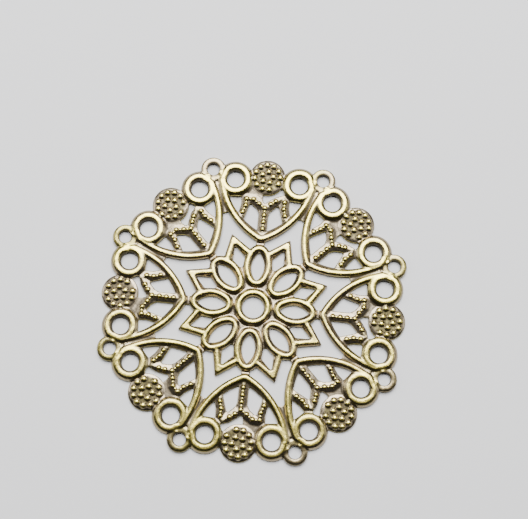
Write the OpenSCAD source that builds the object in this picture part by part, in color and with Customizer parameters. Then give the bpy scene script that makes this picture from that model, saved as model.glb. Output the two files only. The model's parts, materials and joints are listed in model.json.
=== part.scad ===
// Round pierced filigree stamping, struck from one brass sheet: a jeweller's connector.
// It lies on its back in the XY plane, face up, with the centre ring on the Z axis.
// One motif repeats eight times round the centre. It is drawn with its own axis along +Y:
// an oval petal, a tie bar, a heart with branches in it, and a rosette on the rim.

/* [Sheet] */
// Diameter over the small rings on the rim
overall_d = 43; // [40:0.5:48]
// Thickness of the sheet
sheet_t = 0.45; // [0.35:0.05:0.6]

/* [Relief] */
// Width at the foot of the ridge round a heart or a petal
ridge_w = 0.88; // [0.8:0.02:0.92]
// Height of that ridge above the sheet
ridge_h = 0.4; // [0.3:0.02:0.4]
// Diameter of one raised grain
grain_d = 0.5; // [0.4:0.02:0.56]

/* [Holes] */
// Bore of the centre ring
centre_hole_d = 2.9; // [2.5:0.1:2.9]
// Bore of each large ring on the rim
large_hole_d = 2.3; // [2:0.1:2.4]
// Bore of each small ring on the rim
small_hole_d = 1.7; // [1.4:0.1:1.7]

/* [Hidden] */
brass = [0.62, 0.55, 0.34];
$fn = 48;

motifs = 8;
step = 360 / motifs;
size = overall_d / 43;             // the pattern is drawn at 43 mm across
root = 0.1;                        // how far each raised form reaches down into the sheet
nudge = 0.01;                      // makes two outlines cross where they would only touch
lap = 3;                           // degrees that one arc of a ridge runs over the next

// rings: distance from the centre, lobe of sheet round the bore, crest and width of the ridge
centre_crest_r = 1.95 * size;
centre_ridge_w = 0.94 * size;
large_lobe_r = 2.5 * size;
large_at = 17.86 * size;
large_turn = 8.2;                  // degrees between a large ring and the small ring beside it
large_crest_r = 1.73 * size;
large_ridge_w = 0.98 * size;
small_lobe_r = 1.68 * size;
small_at = overall_d / 2 - small_lobe_r;
small_crest_r = 1.27 * size;
small_ridge_w = 0.74 * size;

// oval petal: crest of its ridge, and the pointed oval that is pierced in it
petal_at = 5.63 * size;
petal_half_l = 2.4 * size;
petal_half_w = 1.47 * size;
petal_end_r = 1.02 * size;
pierced_at = 5.55 * size;
pierced_half_l = 1.97 * size;
pierced_half_w = 0.87 * size;

// star of pointed petals: crest at a tip, sheet at a tip and in a valley
tip_crest_at = 9.6 * size;
tip_at = 10.45 * size;
valley_at = 6.98 * size;
shoulder = [1.28, 7.23] * size;    // where the ridge of a tip runs into the petal beside it
tip_ridge_w = 0.82 * size;

// kite pierced in a pointed petal, as distance from the centre and half width
kite = [[5.68, 0.2], [6.95, 0.84], [8.62, 0.12]] * size;

// heart: a long arc from each large ring, and a short arc at the apex
heart_arc_at = [-4.34, 19.14] * size;
apex_crest_at = 9.45 * size;
heart_rim = 0.54 * size;           // sheet outside the crest of its ridge
heart_top = 17.1 * size;
flange_arc_at = [-3.94, 19.46] * size;
flange_arc_r = 10.05 * size;       // inner edge of the sheet along the heart
tie_w = 1.14 * size;
tie_from = 8.2 * size;
tie_to = 9.2 * size;
web_from = 13.6 * size;            // sheet that joins two hearts behind a small ring
web_to = 18.5 * size;
web_w = 0.9 * size;

// rosette on the rim, and the gap under it
rosette_at = [-0.06, 17.98] * size;
rosette_r = 2.46 * size;
crescent = [[-0.4, 15.7], [-0.4, 15], [-0.25, 14.5], [0.03, 14.3], [0.3, 14.6], [1.45, 15.4],
            [2.5, 15.68], [2.5, 16.05], [2.1, 16.75], [0, 16.3]] * size;

// gaps beside the stem and the branches; each runs out past the arc of the heart
left_side_gap = [[-5.4, 12.5], [-3.5, 12.5], [-3.22, 14], [-3.3, 15.05], [-5.4, 14.85]] * size;
left_stem_gap = [[-3.1, 10], [-0.66, 10], [-0.72, 12.95], [-1.1, 13.6], [-1.8, 14.1],
                 [-2.05, 14.15], [-2.7, 11.8]] * size;
right_stem_gap = [[0.66, 10], [3.1, 10], [2.62, 12], [1.95, 14], [1.7, 14.15], [0.85, 13.3],
                  [0.62, 12.7]] * size;
right_side_gap = [[3.7, 12.5], [5.4, 12.5], [5.4, 14.95], [3.3, 15.05], [3.35, 13.9]] * size;

// straight rows of grains, as first grain, last grain and count
grain_rows = [
    [[-2.6, 14.8], [-2.9, 12.85], 4],
    [[-1.66, 14.85], [-0.1, 13.85], 4],
    [[0.06, 13.25], [0.06, 10.65], 5],
    [[0.75, 14.25], [2, 15.1], 3],
    [[2.65, 15], [2.92, 12.9], 4],
];
// rings of grains on the rosette, as radius, count, first angle and angle from grain to grain
grain_rings = [[0, 1, 0, 0], [0.82, 5, 10, 72], [1.76, 11, -27, 31]];

large_c = large_at * [sin(step / 2 - large_turn), cos(step / 2 - large_turn)];
heart_arc_r = norm(large_c - heart_arc_at) + large_crest_r;
// the apex arc touches both long arcs from inside, and its crest is at apex_crest_at
apex_at = (heart_arc_r ^ 2 - heart_arc_at[0] ^ 2 - heart_arc_at[1] ^ 2
           + apex_crest_at ^ 2 + 2 * heart_arc_r * apex_crest_at)
        / (2 * (heart_arc_r + apex_crest_at - heart_arc_at[1]));
apex_r = apex_at - apex_crest_at;
apex_turn = atan2(apex_at - heart_arc_at[1], -heart_arc_at[0]);
ring_turn = atan2(large_c[1] - heart_arc_at[1], large_c[0] - heart_arc_at[0]);

// the oval is closed by two side arcs that touch the end arcs
petal_side_r = ((petal_half_l - petal_end_r) ^ 2 + petal_half_w ^ 2 - petal_end_r ^ 2)
             / (2 * (petal_half_w - petal_end_r));
petal_side_turn = atan2(petal_half_l - petal_end_r, petal_side_r - petal_half_w);

module repeat_motif() {
    for (i = [0 : motifs - 1])
        rotate(i * step) children();
}

// the same point on the other side of the motif's axis, and on the other side of a tip
function mirrored(p) = [-p[0], p[1]];
function across_tip(p) = [p[1] * sin(step) - p[0] * cos(step), p[0] * sin(step) + p[1] * cos(step)];

// Outlines of the sheet

module pointed_oval(half_w, half_l) {
    r = (half_l ^ 2 + half_w ^ 2) / (2 * half_w);
    intersection() {
        translate([half_w - r, 0]) circle(r);
        translate([r - half_w, 0]) circle(r);
    }
}

module heart_outline() {
    difference() {
        intersection() {
            translate(heart_arc_at) circle(heart_arc_r + heart_rim);
            translate(mirrored(heart_arc_at)) circle(heart_arc_r + heart_rim);
            translate([-large_at, 0]) square([2 * large_at, heart_top]);
        }
        translate([0, apex_at])
            polygon([[0, 0], large_at * [-cos(apex_turn), sin(apex_turn)],
                     large_at * [cos(apex_turn), sin(apex_turn)]]);
    }
    translate([0, apex_at]) circle(apex_r + heart_rim + nudge);
}

module motif_outline() {
    heart_outline();
    translate([0, petal_at + petal_half_l - petal_end_r]) circle(petal_end_r + ridge_w / 2 + 0.08);
    translate([-tie_w / 2, tie_from]) square([tie_w, tie_to - tie_from]);
    translate(rosette_at) circle(rosette_r);
    translate(large_c) circle(large_lobe_r);
    translate(mirrored(large_c)) circle(large_lobe_r);
    rotate(-step / 2) {
        translate([0, small_at]) circle(small_lobe_r);
        translate([-web_w / 2, web_from]) square([web_w, web_to - web_from]);
    }
}

module star_outline() {
    polygon([for (i = [0 : 2 * motifs - 1])
        (i % 2 == 0 ? valley_at : tip_at) * [-sin(i * step / 2), cos(i * step / 2)]]);
}

module heart_gaps() {
    intersection() {
        union() {
            polygon(left_side_gap);
            polygon(left_stem_gap);
        }
        translate(mirrored(flange_arc_at)) circle(flange_arc_r);
    }
    intersection() {
        union() {
            polygon(right_side_gap);
            polygon(right_stem_gap);
        }
        translate(flange_arc_at) circle(flange_arc_r);
    }
    difference() {
        polygon(crescent);
        translate(rosette_at) circle(rosette_r);
    }
}

module motif_gaps() {
    heart_gaps();
    translate([0, pierced_at]) pointed_oval(pierced_half_w, pierced_half_l);
    translate(large_c) circle(d = large_hole_d);
    translate(mirrored(large_c)) circle(d = large_hole_d);
    rotate(-step / 2) {
        polygon([for (p = kite) [p[1], p[0]], for (i = [2 : -1 : 0]) [-kite[i][1], kite[i][0]]]);
        translate([0, small_at]) circle(d = small_hole_d);
    }
}

module sheet() {
    linear_extrude(sheet_t)
        difference() {
            union() {
                star_outline();
                repeat_motif() motif_outline();
            }
            repeat_motif() motif_gaps();
            circle(d = centre_hole_d);
        }
}

// Raised work

// A ridge of width w has a round back of this radius, centred this far above the sheet
function ridge_back_r(w) = w * (ridge_h / ridge_w + ridge_w / ridge_h / 4) / 2;
function ridge_back_z(w) = w * ridge_h / ridge_w - ridge_back_r(w);

module ridge_section(w) {
    r = ridge_back_r(w);
    translate([0, sheet_t])
        intersection() {
            translate([0, ridge_back_z(w)]) circle(r);
            translate([-r, -root]) square([2 * r, w]);
        }
}

module ridge_ring(crest_r, w) {
    rotate_extrude() translate([crest_r, 0]) ridge_section(w);
}

module ridge_arc(crest_r, w, start, angle) {
    rotate_extrude(angle = angle, start = start) translate([crest_r, 0]) ridge_section(w);
}

// The end arcs are a shade wider than the side arcs, and lap over them by a few degrees
module petal_ridge() {
    end_at = petal_half_l - petal_end_r;
    side_at = petal_side_r - petal_half_w;
    end_half = 90 - petal_side_turn + lap;
    translate([0, petal_at])
        for (s = [-1, 1]) {
            translate([0, s * end_at])
                ridge_arc(petal_end_r, ridge_w + 2 * nudge, s * 90 - end_half, 2 * end_half);
            translate([s * -side_at, 0])
                ridge_arc(petal_side_r, ridge_w, 90 - s * 90 - petal_side_turn, 2 * petal_side_turn);
        }
}

// Two straight sides of a pointed petal, with a round back where they meet at the tip
module tip_ridges() {
    tip = tip_crest_at * [sin(step / 2), cos(step / 2)];
    for (foot = [shoulder, across_tip(shoulder)])
        translate(foot)
            rotate([90, 0, atan2(tip[1] - foot[1], tip[0] - foot[0]) + 90])
                linear_extrude(norm(tip - foot)) ridge_section(tip_ridge_w);
    intersection() {
        translate([tip[0], tip[1], sheet_t + ridge_back_z(tip_ridge_w)])
            sphere(ridge_back_r(tip_ridge_w) + nudge);
        translate([0, 0, sheet_t - root]) cylinder(r = tip_at, h = 1);
    }
}

// The apex arc is a shade wider too. The long arcs end inside the ridges of the large rings
module heart_ridge() {
    long_angle = ring_turn - apex_turn;
    apex_half = 90 + apex_turn + lap;
    translate(heart_arc_at) ridge_arc(heart_arc_r, ridge_w, apex_turn, long_angle);
    translate(mirrored(heart_arc_at)) ridge_arc(heart_arc_r, ridge_w, 180 - ring_turn, long_angle);
    translate([0, apex_at]) ridge_arc(apex_r, ridge_w + 2 * nudge, -90 - apex_half, 2 * apex_half);
}

module grain() {
    translate([0, 0, sheet_t]) sphere(d = grain_d);
}

module grains() {
    for (row = grain_rows)
        for (i = [0 : row[2] - 1])
            translate((row[0] + (row[1] - row[0]) * i / (row[2] - 1)) * size) grain();
    translate(rosette_at)
        for (ring = grain_rings)
            for (i = [0 : ring[1] - 1])
                rotate(ring[2] + i * ring[3]) translate([ring[0] * size, 0]) grain();
}

module filigree_stamping() {
    color(brass) {
        sheet();
        ridge_ring(centre_crest_r, centre_ridge_w);
        repeat_motif() {
            petal_ridge();
            tip_ridges();
            heart_ridge();
            translate(large_c) ridge_ring(large_crest_r, large_ridge_w);
            translate(mirrored(large_c)) ridge_ring(large_crest_r, large_ridge_w);
            rotate(-step / 2) translate([0, small_at]) ridge_ring(small_crest_r, small_ridge_w);
            grains();
        }
    }
}

filigree_stamping();
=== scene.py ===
import bmesh
import bpy
import json
import numpy as np
from math import atan2, cos, hypot, pi, radians, sin
from mathutils import Matrix, Vector


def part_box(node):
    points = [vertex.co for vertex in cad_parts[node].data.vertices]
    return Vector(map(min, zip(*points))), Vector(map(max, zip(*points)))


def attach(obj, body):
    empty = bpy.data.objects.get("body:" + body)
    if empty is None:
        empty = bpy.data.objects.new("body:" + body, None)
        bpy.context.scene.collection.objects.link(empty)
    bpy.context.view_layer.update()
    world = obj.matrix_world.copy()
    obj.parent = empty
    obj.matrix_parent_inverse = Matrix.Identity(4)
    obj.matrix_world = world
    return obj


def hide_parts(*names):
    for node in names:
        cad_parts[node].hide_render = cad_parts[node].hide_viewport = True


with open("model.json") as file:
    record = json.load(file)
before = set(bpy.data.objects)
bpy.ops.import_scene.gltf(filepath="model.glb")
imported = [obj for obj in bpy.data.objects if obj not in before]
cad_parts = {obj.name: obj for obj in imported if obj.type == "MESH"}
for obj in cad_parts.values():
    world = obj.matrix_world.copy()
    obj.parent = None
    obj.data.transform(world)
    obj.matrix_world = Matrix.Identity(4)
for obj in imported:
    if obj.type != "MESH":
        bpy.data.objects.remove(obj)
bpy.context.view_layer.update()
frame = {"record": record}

# The table: a plain pale board that the stamping lies on, face up.
# It is far larger than the piece, so that its edges never show.
board_half = 3
board_colour = (0.68, 0.68, 0.69, 1)
board_roughness = 0.7
board_gloss = 0.3

board_mesh = bpy.data.meshes.new("board")
bm = bmesh.new()
bmesh.ops.create_grid(bm, x_segments=1, y_segments=1, size=board_half)
bm.to_mesh(board_mesh)
bm.free()
board = bpy.data.objects.new("board", board_mesh)
bpy.context.scene.collection.objects.link(board)
board_paint = bpy.data.materials.new("board_paint")
board_paint.use_nodes = True
board_shader = board_paint.node_tree.nodes["Principled BSDF"]
board_shader.inputs["Base Color"].default_value = board_colour
board_shader.inputs["Roughness"].default_value = board_roughness
board_shader.inputs["Specular IOR Level"].default_value = board_gloss
board_mesh.materials.append(board_paint)

# The camera looks down on the piece from a hand's width, ten degrees off the upright,
# with a heart a little to the right of the top of the picture.
picture_w = 528
focal_px = 919
sensor_w = 36
near_clip = 0.005
aim = Vector((0.000716, 0.006687, 0))
camera_distance = 0.1246
camera_height = radians(79.94)
camera_side = radians(-85.13)
camera_roll = radians(-1.58)

away = Vector((cos(camera_side) * cos(camera_height),
               sin(camera_side) * cos(camera_height),
               sin(camera_height)))
camera_data = bpy.data.cameras.new("camera")
camera_data.lens = focal_px * sensor_w / picture_w
camera_data.sensor_width = sensor_w
camera_data.clip_start = near_clip
camera = bpy.data.objects.new("camera", camera_data)
camera.location = aim + camera_distance * away
turned = (-away).to_track_quat("-Z", "Y").to_matrix() @ Matrix.Rotation(-camera_roll, 3, "Z")
camera.rotation_euler = turned.to_euler()
bpy.context.scene.collection.objects.link(camera)
bpy.context.scene.camera = camera

# Soft studio light: one broad panel beyond the far side of the piece, two weaker ones at its left
# and right, and a dim even surround. Each panel faces the middle of the piece.
panels = [
    ("far_panel", (-0.02, 0.27, 0.44), 0.42, 8.2),
    ("left_panel", (-0.36, 0.06, 0.20), 0.20, 0.5),
    ("right_panel", (0.36, 0.06, 0.20), 0.20, 0.3),
]
surround_colour = (0.80, 0.84, 0.90, 1)
surround_strength = 0.03

for name, place, width, watts in panels:
    panel_data = bpy.data.lights.new(name, "AREA")
    panel_data.size = width
    panel_data.energy = watts
    panel = bpy.data.objects.new(name, panel_data)
    panel.location = place
    panel.rotation_euler = Vector(place).to_track_quat("Z", "Y").to_euler()
    bpy.context.scene.collection.objects.link(panel)
surround = bpy.data.worlds.new("surround")
surround.use_nodes = True
surround.node_tree.nodes["Background"].inputs["Color"].default_value = surround_colour
surround.node_tree.nodes["Background"].inputs["Strength"].default_value = surround_strength
bpy.context.scene.world = surround

# The blank: one brass sheet, which a die cuts to the outline of the whole filigree and pierces.
# A distance is in millimetres, and it is below zero inside a form. All forms are drawn for one
# motif, with its own axis along +Y, and every point of the sheet is turned into that motif.
mm = 0.001
motifs = 8
step = 2 * pi / motifs
node_name = "filigree_stamping"
mounts = {mount["name"]: mount["dims"] for mount in frame["record"]["mounts"]}
sheet_t = mounts["centre_ring"]["length_mm"]
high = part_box(node_name)[1]
# The forms are drawn for a piece of this half width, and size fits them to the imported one.
drawn_half = 20.4335
size = high.y / mm / drawn_half


def scaled(points):
    return [(size * px, size * py) for px, py in points]


# The star in the middle: a holed ring, eight oval petals, and eight pointed petals between them.
# It is part of the same sheet. An oval petal is made of two end arcs and two side arcs.
centre_hole_r = mounts["centre_ring"]["r_mm"]
petal_at, petal_half_l, petal_half_w, petal_end_r = 5.63 * size, 2.4 * size, 1.47 * size, 1.02 * size
pierced_at, pierced_half_l, pierced_half_w = 5.55 * size, 1.97 * size, 0.87 * size
tip_crest_at, tip_at, valley_at = 9.6 * size, 10.45 * size, 6.98 * size
shoulder = (1.28 * size, 7.23 * size)
kite = scaled([(0.2, 5.68), (0.84, 6.95), (0.12, 8.62)])
petal_side_r = (((petal_half_l - petal_end_r) ** 2 + petal_half_w ** 2 - petal_end_r ** 2)
                / (2 * (petal_half_w - petal_end_r)))
petal_side_at = petal_side_r - petal_half_w
petal_end_at = petal_half_l - petal_end_r
petal_rim = 0.52 * size
pierced_r = (pierced_half_l ** 2 + pierced_half_w ** 2) / (2 * pierced_half_w)
tip = (tip_crest_at * sin(step / 2), tip_crest_at * cos(step / 2))


def segment(x, y, start, end):
    """Distance to a straight line from start to end."""
    dx, dy = end[0] - start[0], end[1] - start[1]
    along = np.clip(((x - start[0]) * dx + (y - start[1]) * dy) / (dx * dx + dy * dy), 0, 1)
    return np.hypot(x - start[0] - along * dx, y - start[1] - along * dy)


def polygon(x, y, points):
    """Distance to a closed outline of straight sides."""
    near = np.full_like(x, np.inf)
    inside = np.zeros(x.shape, bool)
    for start, end in zip(points, points[1:] + points[:1]):
        near = np.minimum(near, segment(x, y, start, end))
        spans = (start[1] > y) != (end[1] > y)
        rise = end[1] - start[1] if end[1] != start[1] else 1.0
        inside ^= spans & (x < start[0] + (y - start[1]) * (end[0] - start[0]) / rise)
    return np.where(inside, -near, near)


def petal_crest(x, y):
    """Distance to the crest of the oval ridge."""
    u, v = np.abs(x), np.abs(y - petal_at)
    on_side = np.arctan2(v, u + petal_side_at) < atan2(petal_end_at, petal_side_at)
    return np.where(on_side, np.hypot(u + petal_side_at, v) - petal_side_r,
                    np.hypot(u, v - petal_end_at) - petal_end_r)


def star(x, y):
    """The outline of the star: a straight side from each valley to the tips beside it."""
    side = (tip_at * sin(step / 2), tip_at * cos(step / 2) - valley_at)
    length = hypot(*side)
    return ((y - valley_at) * side[0] - np.abs(x) * side[1]) / length


def star_gaps(x, y):
    """The pierced pointed ovals, and the kites in the pointed petals."""
    oval = np.hypot(np.abs(x) + pierced_r - pierced_half_w, y - pierced_at) - pierced_r
    across = np.abs(x) * cos(step / 2) - y * sin(step / 2)
    out = np.abs(x) * sin(step / 2) + y * cos(step / 2)
    mirrored_kite = [(-px, py) for px, py in reversed(kite)]
    return np.minimum(oval, polygon(across, out, kite + mirrored_kite))


# The eight hearts round the star: each is two long arcs from the large rings to a round apex,
# with a stem and two branches left standing between five pierced gaps. A tie bar joins each
# heart to the star, and a web of low sheet joins it to the next heart.
large_x = mounts["large_rings_by_y"]["spacing_x_mm"] / 2
large_y = mounts["large_rings_by_y"]["spacing_y_mm"] / 2
heart_arc_at = (-4.34 * size, 19.14 * size)
apex_crest_at = 9.45 * size
heart_rim = 0.54 * size
heart_top = 17.1 * size
flange_arc_at, flange_arc_r = (-3.94 * size, 19.46 * size), 10.05 * size
tie_w, tie_from, tie_to = 1.14 * size, 8.2 * size, 9.2 * size
web_from, web_to, web_w = 13.6 * size, 18.5 * size, 0.9 * size
large_crest_r = 1.73 * size
heart_arc_r = hypot(large_x - heart_arc_at[0], large_y - heart_arc_at[1]) + large_crest_r
apex_at = ((heart_arc_r ** 2 - heart_arc_at[0] ** 2 - heart_arc_at[1] ** 2
            + apex_crest_at ** 2 + 2 * heart_arc_r * apex_crest_at)
           / (2 * (heart_arc_r + apex_crest_at - heart_arc_at[1])))
apex_r = apex_at - apex_crest_at
apex_turn = atan2(apex_at - heart_arc_at[1], -heart_arc_at[0])
ring_turn = atan2(large_y - heart_arc_at[1], large_x - heart_arc_at[0])
arc_end = (heart_arc_at[0] + heart_arc_r * cos(ring_turn),
           heart_arc_at[1] + heart_arc_r * sin(ring_turn))
crescent = scaled([(-0.4, 15.7), (-0.4, 15), (-0.25, 14.5), (0.03, 14.3), (0.3, 14.6), (1.45, 15.4),
                   (2.5, 15.68), (2.5, 16.05), (2.1, 16.75), (0, 16.3)])
left_gaps = [
    scaled([(-5.4, 12.5), (-3.5, 12.5), (-3.22, 14), (-3.3, 15.05), (-5.4, 14.85)]),
    scaled([(-3.1, 10), (-0.66, 10), (-0.72, 12.95), (-1.1, 13.6), (-1.8, 14.1), (-2.05, 14.15),
            (-2.7, 11.8)]),
]
right_gaps = [
    scaled([(0.66, 10), (3.1, 10), (2.62, 12), (1.95, 14), (1.7, 14.15), (0.85, 13.3),
            (0.62, 12.7)]),
    scaled([(3.7, 12.5), (5.4, 12.5), (5.4, 14.95), (3.3, 15.05), (3.35, 13.9)]),
]
rosette = (-0.06 * size, 17.98 * size)
rosette_r = 2.46 * size


def disc(x, y, centre, r):
    """Distance to a circle."""
    return np.hypot(x - centre[0], y - centre[1]) - r


def heart_crest(x, y):
    """Distance to the crest of the heart: the long arc, then the arc round the apex."""
    u = np.abs(x)
    on_arc = np.arctan2(y - heart_arc_at[1], u - heart_arc_at[0]) > apex_turn
    return np.where(on_arc, disc(u, y, heart_arc_at, heart_arc_r), disc(u, y, (0, apex_at), apex_r))


def heart_gaps(x, y):
    """The five gaps, each kept clear of the rosette or of the heart's ridge."""
    left_flange = disc(x, y, (-flange_arc_at[0], flange_arc_at[1]), flange_arc_r)
    right_flange = disc(x, y, flange_arc_at, flange_arc_r)
    gaps = np.maximum(polygon(x, y, crescent), -disc(x, y, rosette, rosette_r))
    for points in left_gaps:
        gaps = np.minimum(gaps, np.maximum(polygon(x, y, points), left_flange))
    for points in right_gaps:
        gaps = np.minimum(gaps, np.maximum(polygon(x, y, points), right_flange))
    return gaps


# The rim: a grained rosette over each heart, two large rings beside it, and a small ring that
# stands out between two motifs. They are cut from the same sheet, with round pierced holes.
small_at = mounts["small_rings"]["pcd_mm"] / 2
small_x, small_y = small_at * sin(step / 2), small_at * cos(step / 2)
small_hole_r = mounts["small_rings"]["hole_r_mm"]
large_hole_r = mounts["large_rings_by_y"]["hole_r_mm"]
large_lobe_r, small_lobe_r = 2.5 * size, 1.68 * size


def outer_outline(x, y):
    """Outline of the metal without its piercings."""
    u = np.abs(x)
    border_across = u * cos(step / 2) - y * sin(step / 2)
    border_out = u * sin(step / 2) + y * cos(step / 2)
    heart = np.maximum(heart_crest(x, y) - heart_rim, y - heart_top)
    tie = np.maximum(u - tie_w / 2, np.maximum(tie_from - y, y - tie_to))
    web_length = np.maximum(web_from - border_out, border_out - web_to)
    web = np.maximum(np.abs(border_across) - web_w / 2, web_length)
    petal_end = disc(x, y, (0, petal_at + petal_end_at), petal_end_r + petal_rim)
    large_lobe = disc(u, y, (large_x, large_y), large_lobe_r)
    small_lobe = disc(u, y, (small_x, small_y), small_lobe_r)
    return np.minimum.reduce([star(x, y), petal_end, heart, tie, web,
                              disc(x, y, rosette, rosette_r), large_lobe, small_lobe])


def round_holes(x, y):
    """The bores of the centre ring, the large rings and the small rings."""
    u = np.abs(x)
    return np.minimum.reduce([disc(x, y, (0, 0), centre_hole_r),
                              disc(u, y, (large_x, large_y), large_hole_r),
                              disc(u, y, (small_x, small_y), small_hole_r)])


def into_motif(x, y):
    """Turns each point by whole motifs, until it lies in the one round +Y."""
    turn = np.round(np.arctan2(x, y) / step) * step
    return x * np.cos(turn) - y * np.sin(turn), x * np.sin(turn) + y * np.cos(turn)


def cut_edge(x, y):
    """Distance to the nearest cut edge of the metal."""
    x, y = into_motif(x, y)
    piercings = np.minimum.reduce([star_gaps(x, y), heart_gaps(x, y), round_holes(x, y)])
    return np.maximum(outer_outline(x, y), -piercings)


# The relief, which a second die presses into the sheet from behind: rounded ridges along the
# star, the hearts and the rings, roof-shaped bars inside each heart, and a low dome under each
# rosette. The cut edges are softened, and the back is hollow behind each ridge.
highest = high.z / mm
crest_h = highest - sheet_t
# For each kind of ridge: place of its crest, half width of its round top, width of its inner
# and of its outer slope, and height as a part of the highest crest's.
ridge_sizes = {
    "centre": (1.97, 0.14, 0.49, 0.54, 0.94),
    "petal": (-0.01, 0.14, 0.48, 0.51, 0.90),
    "tip": (0.04, 0.13, 0.43, 0.43, 0.84),
    "heart": (0.09, 0.15, 0.54, 0.45, 0.90),
    "large": (1.71, 0.18, 0.61, 0.72, 1.00),
    "small": (1.28, 0.32, 0.42, 0.42, 0.54),
}
blend = 0.12
far_off = 6
shoulder_power = 2.4
tip_top_share, tip_top_r = 0.96, 0.1 * size
tip_top = (tip_top_share * tip[0], tip_top_share * tip[1])
plateau_r, plateau_slope, plateau_h = 0.42 * size, 0.60 * size, 0.95
plateau_share = 0.55
plateau = (large_x + (small_x - large_x) * plateau_share,
           large_y + (small_y - large_y) * plateau_share)
bars = [
    scaled([(-2.92, 12.4), (-2.6, 13.8), (-2.53, 14.8), (-1.6, 14.75), (0.06, 13.6)]),
    scaled([(0.08, 10.2), (0.06, 13.6), (1.5, 14.75), (2.3, 15.3)]),
    scaled([(2.98, 12.4), (2.69, 13.7), (2.65, 14.7), (2.3, 15.4)]),
]
bar_half_w, bar_h, bar_top_r = 0.66 * size, 0.22, 0.1 * size
dome_top_r, dome_slope, dome_h = 1.80 * size, 0.72 * size, 0.28
rib_to, rib_half_w, rib_h = 17.8 * size, 0.2 * size, 0.17
hole_lip_w, hole_lip_drop = 0.13 * size, 0.06
lip_w, lip_drop = 0.50 * size, 0.08
soft_edge, soft_drop = 0.045, 0.05
hollow_w_share, hollow_h_share = 0.72, 0.85


def over_border(x, y):
    """The same point as the next motif sees it."""
    return y * sin(step) - x * cos(step), x * sin(step) + y * cos(step)


def ridges(x, y):
    """Each ridge as (distance down its slope as a part of the slope's width, height)."""
    found = []

    def ridge(name, distance):
        crest, top, inside, outside, height = ridge_sizes[name]
        off = distance / size - crest
        down = (np.hypot(off, top) - top) / np.where(off < 0, inside, outside)
        found.append((down, crest_h * height))

    ridge("centre", np.hypot(x, y))
    for px, py in ((np.abs(x), y), over_border(np.abs(x), y)):
        ridge("petal", petal_crest(px, py))
        ridge("tip", segment(px, py, shoulder, tip))
        ridge("tip", np.maximum(disc(px, py, tip_top, tip_top_r), 0))
        ridge("large", disc(px, py, (large_x, large_y), 0))
        along = np.arctan2(py - heart_arc_at[1], np.abs(px) - heart_arc_at[0])
        from_end = disc(np.abs(px), py, arc_end, 0)
        ridge("heart", np.where(along < ring_turn, heart_crest(px, py), from_end))
    ridge("small", disc(np.abs(x), y, (small_x, small_y), 0))
    off_plateau = np.maximum(disc(np.abs(x), y, plateau, plateau_r), 0) / plateau_slope
    found.append((off_plateau, plateau_h * crest_h))
    off_dome = np.maximum(disc(x, y, rosette, dome_top_r), 0) / dome_slope
    found.append((off_dome, dome_h * crest_h))
    return found


def pressed(x, y):
    """How far down the slopes a point is, and the height of what it lies on, run together."""
    total = np.zeros_like(x)
    height = np.zeros_like(x)
    for t, h in ridges(x, y):
        weight = np.exp(-np.minimum(t, far_off) / blend)
        total += weight
        height += weight * h
    return np.maximum(-blend * np.log(total), 0), height / total


def bell(t):
    """One on the middle of a form, nought from its edge on, with a round shoulder between."""
    return (1 - np.clip(t, 0, 1) ** shoulder_power) ** 2


def low_forms(x, y):
    """Height of the bars, which lie lower than the ridges."""
    from_bar = np.full_like(x, np.inf)
    for line in bars:
        for start, end in zip(line, line[1:]):
            from_bar = np.minimum(from_bar, segment(x, y, start, end))
    return bar_h * np.clip(1 - (np.hypot(from_bar, bar_top_r) - bar_top_r) / bar_half_w, 0, 1)


def web_rib(x, y):
    """The thin rib along the web between two hearts, which rises toward the rim."""
    across = np.abs(np.abs(x) * cos(step / 2) - y * sin(step / 2))
    out = np.abs(x) * sin(step / 2) + y * cos(step / 2)
    rise = np.clip((out - web_from) / (rib_to - web_from), 0, 1)
    return rib_h * rise * bell(np.hypot(across, np.maximum(out - rib_to, 0)) / rib_half_w)


def face_height(x, y):
    """Height of the face above the table."""
    x, y = into_motif(x, y)
    t, h = pressed(x, y)
    on_ridge = bell(t)
    lip = np.clip(1 + outer_outline(x, y) / lip_w, 0, 1)
    on_rim = np.hypot(x, y) > web_to
    hole_lip = np.clip(1 - disc(np.abs(x), y, (large_x, large_y), large_hole_r) / hole_lip_w, 0, 1)
    return (sheet_t + h * on_ridge + low_forms(x, y) * (1 - on_ridge) + web_rib(x, y)
            - lip_drop * on_rim * lip ** 2 - hole_lip_drop * hole_lip ** 2)


def back_height(x, y):
    """Height of the back above the table."""
    x, y = into_motif(x, y)
    t, h = pressed(x, y)
    return hollow_h_share * h * bell(t / hollow_w_share)


pitch = 0.122
half = high.y / mm + 2 * pitch
squares = int(2 * half / pitch)
bm = bmesh.new()
worn_layer = bm.verts.layers.float.new("worn")
# One dark amount per vertex, for the dark finish and for painted shade.
patina_and_shade_layer = bm.verts.layers.float.new("patina_and_shade")
bmesh.ops.create_grid(bm, x_segments=squares, y_segments=squares, size=half)


def places_of(verts):
    at = np.array([v.co for v in verts])
    return at[:, 0], at[:, 1]


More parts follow.
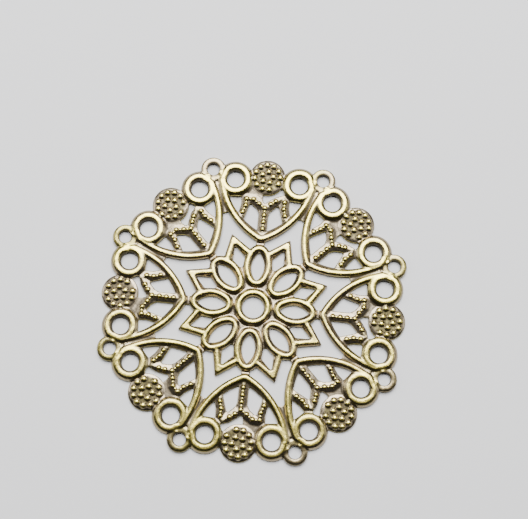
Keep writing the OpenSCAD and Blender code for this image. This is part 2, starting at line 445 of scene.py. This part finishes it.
# The waste is cut away. The stepped edge that it leaves is moved onto the outline, evened along
# itself, and moved onto the outline again.
reach, least_slope_square = 0.02, 0.3
evening_rounds = (False, False, True, True, True, True, False, False)
beside_rounds, beside_pull = 4, 0.5
for vert, distance in zip(bm.verts, cut_edge(*places_of(bm.verts))):
    vert.co.z = distance
waste = [face for face in bm.faces if sum(v.co.z for v in face.verts) > 0]
bmesh.ops.delete(bm, geom=waste, context="FACES")
for vert in bm.verts:
    vert.co.z = 0
edge_verts = [v for v in bm.verts if v.is_boundary]
edge_index = {vert: i for i, vert in enumerate(edge_verts)}
before, after = np.array([[edge_index[e.other_vert(v)] for e in v.link_edges if e.is_boundary][:2]
                          for v in edge_verts]).T
x, y = places_of(edge_verts)
for evened in evening_rounds:
    if evened:
        x, y = (2 * x + x[before] + x[after]) / 4, (2 * y + y[before] + y[after]) / 4
    off = cut_edge(x, y)
    slope_x = (cut_edge(x + reach, y) - cut_edge(x - reach, y)) / (2 * reach)
    slope_y = (cut_edge(x, y + reach) - cut_edge(x, y - reach)) / (2 * reach)
    slope_square = np.maximum(slope_x ** 2 + slope_y ** 2, least_slope_square)
    x, y = x - off * slope_x / slope_square, y - off * slope_y / slope_square
for vert, at_x, at_y in zip(edge_verts, x, y):
    vert.co.x, vert.co.y = at_x, at_y
edge_set = set(edge_verts)
beside = [v for v in bm.verts
          if v not in edge_set and any(e.other_vert(v) in edge_set for e in v.link_edges)]
for _ in range(beside_rounds):
    bmesh.ops.smooth_vert(bm, verts=beside, factor=beside_pull,
                          use_axis_x=True, use_axis_y=True, use_axis_z=False)

# The sheet gets its thickness, and its upper edges are rounded off all round.
lifted = bmesh.ops.extrude_face_region(bm, geom=bm.faces[:])["geom"]
lifted_verts = {item for item in lifted if isinstance(item, bmesh.types.BMVert)}
back_verts = [v for v in bm.verts if v not in lifted_verts]
face_faces = [item for item in lifted if isinstance(item, bmesh.types.BMFace)]
rim_faces = bmesh.ops.inset_region(bm, faces=face_faces, thickness=soft_edge,
                                   use_even_offset=False)["faces"]
back_set = set(back_verts)
face_verts = [v for v in bm.verts if v not in back_set]
rounded = {v for face in rim_faces for v in face.verts
           if any(e.other_vert(v) in back_set for e in v.link_edges)}

# Where the dark finish stays, where shade is painted, and where the metal is rubbed bright, each as
# (places, amounts) for a distance in millimetres, a part of a slope's width, or a steepness.
crest_rubbed = ([0.02, 0.12, 0.28], [1, 0.78, 0.4])
ridge_foot_dark = ([0.35, 0.70, 0.95, 1.18], [0, 0.4, 1, 0.2])
land_dark = ([0.8, 1.1], [0, 1.2])
# Painted shade: the steeper a flank, the darker it is painted, as if it reflected dark surroundings.
steep_painted_shade = ([0.7, 1.4], [0, 0.35])
# Painted shade round each bore, for the shadow in the hole.
bore_painted_shade = ([0.28, 0.52], [0.52, 0])
star_clean = ([8.2, 9.8], [0.1, 1])
grain_foot_dark = ([0.5, 0.75], [0.72, 0.54])
foot_share, hollow_share, full_hollow, full_bar = 0.35, 0.35, 0.08, 0.08
directions, around_r = 8, 0.22
rosette_ground_r = 2.1
rubbed_lip_w, lip_rubbed = 0.16, 0.8
bore_rim_w = 0.12
# A rounded bore edge gets painted shade; other rounded edges are rubbed and keep part of the dark
# finish.
edge_worn, edge_dark, bore_edge_painted_shade = 0.6, 0.4, 0.75
back_worn, back_dark = 0.3, 0.7
# The grains of a rosette stand in two rings: radius, number, first angle, and angle between two.
grain_rings = [(0.8, 5, 10, 72), (1.76, 11, -27, 31)]
dome_grains = []
for ring_r, count, first, between in grain_rings:
    for i in range(count):
        turn = radians(first + i * between)
        dome_grains.append((rosette[0] + ring_r * size * cos(turn),
                            rosette[1] + ring_r * size * sin(turn)))

x, y = places_of(face_verts)
motif_x, motif_y = into_motif(x, y)
height = face_height(x, y)
turns = [2 * pi * i / directions for i in range(directions)]
around = [face_height(x + around_r * cos(turn), y + around_r * sin(turn)) for turn in turns]
hollow = sum(around) / directions - height
rise_x = sum(h * cos(turn) for h, turn in zip(around, turns))
rise_y = sum(h * sin(turn) for h, turn in zip(around, turns))
steep = np.hypot(rise_x, rise_y) / (directions / 2 * around_r)
from_crest = pressed(motif_x, motif_y)[0]
off_bars = np.clip(1 - low_forms(motif_x, motif_y) / full_bar, 0, 1)
foot = np.interp(from_crest, *ridge_foot_dark) + off_bars * np.interp(from_crest, *land_dark)
beside_grain = np.zeros_like(x)
for place in dome_grains:
    from_grain = disc(motif_x, motif_y, place, 0)
    beside_grain = np.maximum(beside_grain, np.interp(from_grain, *grain_foot_dark))
beside_grain *= disc(motif_x, motif_y, rosette, 0) < rosette_ground_r
on_lip = np.clip(1 + outer_outline(motif_x, motif_y) / rubbed_lip_w, 0, 1)
from_bore = round_holes(motif_x, motif_y)
# Dark amount: the finish at ridge feet, on the lands, in hollows and round the grains, with shade
# painted on steep flanks and round the bores.
patina_and_shade_of_face = (np.interp(np.hypot(x, y), *star_clean)
                * (foot_share * foot + hollow_share * hollow / full_hollow
                   + np.interp(steep, *steep_painted_shade) + np.interp(from_bore, *bore_painted_shade)))
patina_and_shade_of_face = np.clip((patina_and_shade_of_face + beside_grain) * (1 - lip_rubbed * on_lip), 0, 1)
worn_of_face = np.clip((height - sheet_t) / crest_h, 0, 1) * np.interp(from_crest, *crest_rubbed)
for vert, z, worn, dark, bored in zip(face_verts, height, worn_of_face, patina_and_shade_of_face,
                                      from_bore < bore_rim_w):
    vert[worn_layer] = worn
    vert[patina_and_shade_layer] = dark
    if vert in rounded:
        z -= soft_drop
        vert[worn_layer] = edge_worn
        # A rounded bore edge is painted with shade.
        vert[patina_and_shade_layer] = bore_edge_painted_shade if bored else edge_dark * dark
    vert.co.z = z
x, y = places_of(back_verts)
for vert, z in zip(back_verts, back_height(x, y)):
    vert.co.z = z
    vert[worn_layer] = back_worn
    vert[patina_and_shade_layer] = back_dark
bmesh.ops.recalc_face_normals(bm, faces=bm.faces[:])
for face in bm.faces:
    face.smooth = True
bmesh.ops.scale(bm, vec=(mm, mm, mm), verts=bm.verts[:])
bm.verts.index_update()
inner_back = [v.index for v in back_verts if all(e.other_vert(v) in back_set for e in v.link_edges)]

# The back is plain between its edges, so it needs fewer facets there.
sharp_from = radians(58)
facets_kept = 0.66
stamping_mesh = bpy.data.meshes.new("stamped_sheet")
bm.to_mesh(stamping_mesh)
bm.free()
stamping_mesh.set_sharp_from_angle(angle=sharp_from)
stamping = bpy.data.objects.new("stamped_sheet", stamping_mesh)
bpy.context.scene.collection.objects.link(stamping)
plain_back = stamping.vertex_groups.new(name="plain_back")
plain_back.add(inner_back, 1, "REPLACE")
thinned = stamping.modifiers.new("thinned_back", "DECIMATE")
thinned.ratio = facets_kept
thinned.vertex_group = "plain_back"

# Antique brass: a dark brown finish is brushed over the struck sheet, then rubbed off again.
# It stays at the foot of each ridge and round the grains, and the crests are rubbed bright. The same
# dark brown is also laid where shade is painted, on steep flanks and round the bores.
crest_colour = (0.84, 0.70, 0.17, 1)
olive_colour = (0.33, 0.285, 0.09, 1)
pink_colour = (0.34, 0.275, 0.15, 1)
land_colour = (0.31, 0.255, 0.175, 1)
patina_and_shade_colour = (0.020, 0.014, 0.004, 1)
noise_middle = 0.5
rubbed_patchy, raised_patchy, patina_and_shade_patchy = 0.3, 0.2, 0.35
rubbed_span, raised_span, patina_and_shade_span, pink_span = (0.50, 1.0), (0.05, 0.35), (0.30, 0.80), (0.4, 0.6)
patina_and_shade_cover, patina_and_shade_dulls = 0.92, 0.45
metal_roughness, patina_and_shade_roughness, speck_roughness = 0.28, 0.25, 0.1
bump_depth, speck_in_bump = 0.00004, 0.15


class Wire:
    """A socket of a node tree, so that shader maths reads as plain sums."""

    def __init__(self, tree, socket=None):
        self.tree = tree
        self.socket = socket

    def node(self, kind, settings, sockets, out=0):
        made = self.tree.nodes.new(kind)
        for name, value in settings.items():
            setattr(made, name, value)
        for name, value in sockets.items():
            if isinstance(value, Wire):
                self.tree.links.new(value.socket, made.inputs[name])
            else:
                made.inputs[name].default_value = value
        return Wire(self.tree, made.outputs[out])

    def maths(self, operation, *values):
        return self.node("ShaderNodeMath", {"operation": operation}, dict(enumerate(values)))

    def __add__(self, other):
        return self.maths("ADD", self, other)

    def __sub__(self, other):
        return self.maths("SUBTRACT", self, other)

    def __rsub__(self, other):
        return self.maths("SUBTRACT", other, self)

    def __mul__(self, other):
        return self.maths("MULTIPLY", self, other)

    __radd__ = __add__
    __rmul__ = __mul__


brass = bpy.data.materials.new("antique_brass")
brass.use_nodes = True
shader = brass.node_tree.nodes["Principled BSDF"]
wire = Wire(brass.node_tree)
coords = wire.node("ShaderNodeTexCoord", {}, {}, "Object")


def noise(scale, detail, roughness=0.5):
    return wire.node("ShaderNodeTexNoise", {}, {"Vector": coords, "Scale": scale, "Detail": detail,
                                                "Roughness": roughness}, "Fac")


def painted(name):
    """An amount that is kept on the vertices of a piece."""
    return wire.node("ShaderNodeAttribute", {"attribute_name": name}, {}, "Fac")


def rising(value, span):
    """Rises smoothly from nought to one over the span."""
    return wire.node("ShaderNodeMapRange", {"interpolation_type": "SMOOTHSTEP"},
                     {"Value": value, "From Min": span[0], "From Max": span[1]})


def laid_over(under, over, share):
    """One colour laid over another, on the numbered colour sockets of a Mix node."""
    return wire.node("ShaderNodeMix", {"data_type": "RGBA"}, {0: share, 6: under, 7: over}, 2)


cloud = noise(scale=420, detail=4, roughness=0.6)
patch = noise(scale=130, detail=2)
uneven = noise(scale=1100, detail=1)
speck = noise(scale=5200, detail=3, roughness=0.6)
cloudy = cloud - noise_middle
specky = speck - noise_middle
worn = painted("worn")
patina_and_shade = painted("patina_and_shade")
rubbed = rising(worn + cloudy * rubbed_patchy + specky * rubbed_patchy, rubbed_span)
raised = rising(worn + cloudy * raised_patchy, raised_span)
patina_and_shade_mask = rising(patina_and_shade + cloudy * patina_and_shade_patchy + specky * patina_and_shade_patchy, patina_and_shade_span)
flank = laid_over(olive_colour, pink_colour, rising(patch, pink_span))
sheet = laid_over(land_colour, flank, raised)
metal = laid_over(sheet, crest_colour, rubbed)
# The dark brown goes over the finish and over the painted shade on steep flanks and round the bores.
colour = laid_over(metal, patina_and_shade_colour, patina_and_shade_mask * patina_and_shade_cover)
roughness = metal_roughness + patina_and_shade_mask * patina_and_shade_roughness + specky * speck_roughness
bump = wire.node("ShaderNodeBump", {}, {"Strength": 1, "Distance": bump_depth,
                                        "Height": uneven + speck * speck_in_bump})
for name, value in {"Base Color": colour, "Roughness": roughness,
                    "Metallic": 1 - patina_and_shade_mask * patina_and_shade_dulls, "Normal": bump}.items():
    brass.node_tree.links.new(value.socket, shader.inputs[name])

stamping_mesh.materials.append(brass)
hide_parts(node_name)
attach(stamping, "root")

# Grains: small round beads that the die raises in rows along the bars, and in two rings on each
# rosette. They are the same brass as the sheet, and the dark finish stays round the foot of each.
grain_chains = [
    scaled([(-2.94, 12.8), (-2.6, 13.74), (-2.56, 14.7), (-1.6, 14.72), (-0.77, 14.15),
            (0.05, 13.64), (0.05, 12.64), (0.05, 11.7), (0.05, 10.72)]),
    scaled([(0.76, 14.27), (1.42, 14.75)]),
    scaled([(2.66, 14.7), (2.63, 13.74), (2.9, 12.83)]),
]
large_grains = [place for chain in grain_chains for place in chain]
small_grains = [((start[0] + end[0]) / 2, (start[1] + end[1]) / 2)
                for chain in grain_chains for start, end in zip(chain, chain[1:])]
# For each kind of grain: places in a motif, radius and height.
grain_kinds = [
    (large_grains, 0.31 * size, 0.19),
    (small_grains, 0.18 * size, 0.07),
    (dome_grains, 0.38 * size, 0.22),
]
grain_sides = 10
grain_profile = [(0, 1), (0.45, 0.90), (0.80, 0.60), (1.05, 0.15), (1.4, -0.06), (1.4, -0.4),
                 (0, -0.4)]
grain_seam = 0.001
grain_rubbed = ([0.5, 1.05], [1, 0.1])
grain_dark = ([0.6, 1.0, 1.5], [0, 0.3, 0.45])

bm = bmesh.new()
outline = [bm.verts.new((r, 0, z)) for r, z in grain_profile]
edges = [bm.edges.new(pair) for pair in zip(outline, outline[1:])]
bmesh.ops.spin(bm, geom=outline + edges, cent=(0, 0, 0), axis=(0, 0, 1), angle=2 * pi,
               steps=grain_sides, use_merge=True)
bmesh.ops.remove_doubles(bm, verts=bm.verts[:], dist=grain_seam)
bmesh.ops.recalc_face_normals(bm, faces=bm.faces[:])
one_grain = bpy.data.meshes.new("one_grain")
bm.to_mesh(one_grain)
bm.free()

bm = bmesh.new()
worn_layer = bm.verts.layers.float.new("worn")
patina_and_shade_layer = bm.verts.layers.float.new("patina_and_shade")
for places, grain_r, grain_h in grain_kinds:
    for px, py in places:
        known = len(bm.verts)
        bm.from_mesh(one_grain)
        bm.verts.ensure_lookup_table()
        made = bm.verts[known:]
        for vert in made:
            from_top = hypot(vert.co.x, vert.co.y)
            vert[worn_layer] = np.interp(from_top, *grain_rubbed)
            vert[patina_and_shade_layer] = np.interp(from_top, *grain_dark)
        bmesh.ops.scale(bm, vec=(grain_r, grain_r, grain_h), verts=made)
        bmesh.ops.translate(bm, vec=(px, py, 0), verts=made)
bpy.data.meshes.remove(one_grain)
floors = face_height(*places_of(bm.verts))
for vert, floor in zip(bm.verts, floors):
    vert.co.z = min(vert.co.z + floor, highest)
bmesh.ops.spin(bm, geom=bm.faces[:], cent=(0, 0, 0), axis=(0, 0, 1), angle=step * (motifs - 1),
               steps=motifs - 1, use_duplicate=True)
for face in bm.faces:
    face.smooth = True
bmesh.ops.scale(bm, vec=(mm, mm, mm), verts=bm.verts[:])
grain_mesh = bpy.data.meshes.new("grains")
bm.to_mesh(grain_mesh)
bm.free()
grains = bpy.data.objects.new("grains", grain_mesh)
bpy.context.scene.collection.objects.link(grains)
grain_mesh.materials.append(brass)
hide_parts(node_name)
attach(grains, "root")
